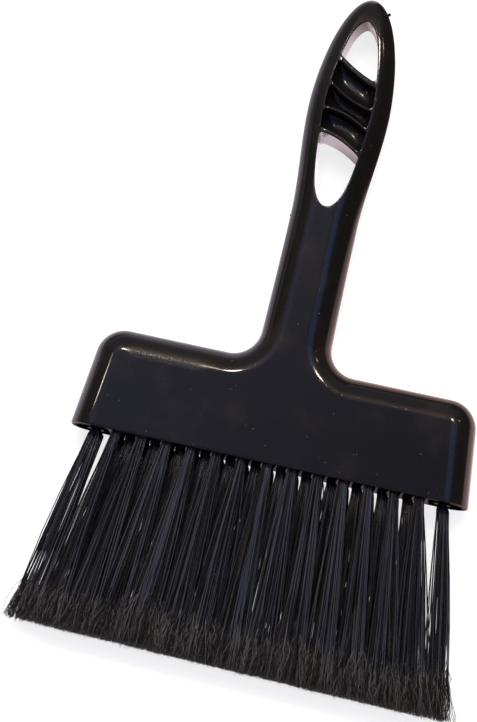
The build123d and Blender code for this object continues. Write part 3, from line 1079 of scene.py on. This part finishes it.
def hairLines(settings, row, lines, below, length, random):
    # Flag hairs: each leaves its filament where it splits and wanders outwards to the trimmed end.
    each = settings["hairsEach"]
    split = settings["flagStart"] + settings["flagByTuft"] * random.normal()
    split = split + settings["flagScatter"] * random.normal(0, 1, len(lines))
    lines, below, length, split = (np.repeat(a, each, axis=0) for a in (lines, below, length, split))
    count = len(lines)
    start = split + random.uniform(0, settings["splitRange"], count)
    start = np.minimum(start, length - settings["shortest"])
    end = length + settings["trimScatter"] * random.normal(0, 1, count)
    root = pointOn(lines, below, start)
    tip = pointOn(lines, below, length)
    angle = random.uniform(0, 2 * np.pi, count)
    spread = np.minimum(random.gamma(*settings["hairSpread"], count), settings["widest"])
    reach = row["hairReach"] * settings["hairReach"] * spread * (end - start) / settings["hairLength"]
    steps = np.linspace(0, 1, 7)
    path = root[:, None, :] + (tip - root)[:, None, :] * steps[None, :, None]
    out = np.stack([np.cos(angle), np.zeros(count), settings["hairFlatness"] * np.sin(angle)], axis=-1)
    path = path + out[:, None, :] * (reach[:, None] * steps ** settings["hairCurl"])[:, :, None]
    path[:, 1:, [0, 2]] += random.normal(0, settings["hairKink"], (count, 6, 2))
    path[:, :, 1] = settings["mouth"] - (start[:, None] + (end - start)[:, None] * steps)
    path[:, :, [0, 2]] = np.clip(path[:, :, [0, 2]], settings["lowest"], settings["highest"])
    return path


def filamentBlack(settings):
    # Near-black filament with painted light: some shafts are painted lit and bluish, some get a painted brown
    # glint, and the split ends are paler.
    material, make = newMaterial("flaggedFilament")
    names = ("flag", "tone", "warmth")
    flag, tone, warmth = (make("Attribute", {}, attribute_name=name).outputs["Fac"] for name in names)
    shaft, hair = (mixed(make, tone, *settings[name]) for name in ("shaftColours", "hairColours"))
    plain = mixed(make, flag, shaft, hair)
    brown = mixed(make, 1.0, plain, settings["warmTint"], blend_type="MULTIPLY")
    colour = mixed(make, warmth, plain, brown)
    place = objectPlace(make)
    rough = ranged(make, noise(make, place, settings["grainScale"]), 0.3, 0.7, settings["sheen"])
    fibre = make("BsdfPrincipled", {"Base Color": colour, "Roughness": rough})
    make("OutputMaterial", {"Surface": fibre.outputs[0]})
    return material


def litTones(settings, share, count, random):
    # Painted light and shade: most filaments are nearly black, and a share of them are painted well lit.
    chosen = random.uniform(0, 1, count) < share
    lit = random.uniform(*settings["litTones"], count)
    dark = random.uniform(*settings["darkTones"], count)
    return np.where(chosen, lit, dark)


def addTuft(node, row, x, z, settings, material, random):
    lines, below, length = filamentLines(settings, row, x, z, random)
    taper = np.clip((below - settings["flagStart"]) / (length[:, None] - settings["flagStart"]), 0, 1)
    shaft = settings["shaftRadius"] * row["fullness"]
    radii = shaft + (settings["coreRadius"] - shaft) * taper
    hairs = hairLines(settings, row, lines, below, length, random)
    thinning = np.linspace(*settings["hairThinning"], hairs.shape[1])
    hairRadii = settings["hairRadius"] * thinning[None, :].repeat(len(hairs), 0)
    shaftPoints, shaftWalls, shaftEnds = tubes(lines, radii, 4)
    hairPoints, hairWalls, hairEnds = tubes(hairs, hairRadii, 3)
    offset = len(shaftPoints)
    points = np.concatenate([shaftPoints, hairPoints])
    piece = buildMesh(node, points, [shaftWalls, shaftEnds, hairWalls + offset, hairEnds + offset])
    perShaft, perHair = lines.shape[1] * 4, hairs.shape[1] * 3
    # Painted light and shade per filament, dimmed on the rows painted in shade.
    shaftPaintedLight = row["tone"] * litTones(settings, settings["litShafts"], len(lines), random)
    hairPaintedLight = litTones(settings, settings["litHairs"], len(hairs), random)
    # Painted warm glint per filament and per hair.
    shaftWarmGlint = random.uniform(0, 1, len(lines)) < settings["warmShafts"]
    hairWarmGlint = random.uniform(0, 1, len(hairs)) ** 3
    for name, ofShafts, ofHairs in (("tone", shaftPaintedLight, hairPaintedLight), ("warmth", shaftWarmGlint, hairWarmGlint)):
        values = np.concatenate([np.repeat(ofShafts, perShaft), np.repeat(ofHairs, perHair)])
        pointValues(piece, name, values)
    pointValues(piece, "flag", np.concatenate([np.repeat(taper.ravel(), 4), np.ones(len(hairPoints))]))
    piece.data.materials.append(material)
    return piece


def addTufts(settings, places):
    material = filamentBlack(settings)
    for k, (node, (x, z)) in enumerate(places.items()):
        random = np.random.default_rng(100 + k)
        words = node.split("_")
        name = "filaments" + "".join(word.capitalize() for word in words[1:])
        rowName = words[1] + words[2].capitalize() if words[1] == "end" else words[1]
        row = dict(zip(settings["rowValues"], settings["rows"][rowName]))
        piece = addTuft(name, row, x * mm, z * mm, settings, material, random)
        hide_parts(node)
        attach(piece, "root")


addTufts(filaments, places)
print("tufts planted")


# Wire anchors
anchorWire = {
    "drawnScale": (300.0, 4000.0, 4000.0),
    "colours": [(0.42, 0.41, 0.40), (0.62, 0.61, 0.59)],
    "shine": (0.26, 0.44),
    "lineDepth": 0.00001,
}


def addAnchorFinish(settings):
    # Drawn steel: fine lines along the wire and a slightly uneven shine.
    material, make = newMaterial("flatAnchorWire")
    drawn = noise(make, stretched(make, settings["drawnScale"]), 1.0)
    tint = mixed(make, drawn, *settings["colours"])
    shine = ranged(make, drawn, 0.0, 1.0, settings["shine"])
    bump = make("Bump", {"Height": drawn, "Distance": settings["lineDepth"]}).outputs[0]
    inputs = {"Base Color": tint, "Metallic": 1.0, "Roughness": shine, "Normal": bump}
    make("OutputMaterial", {"Surface": make("BsdfPrincipled", inputs).outputs[0]})
    for name in [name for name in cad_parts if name.endswith("_anchors")]:
        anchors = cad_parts[name]
        anchors.data.materials.clear()
        anchors.data.materials.append(material)


addAnchorFinish(anchorWire)
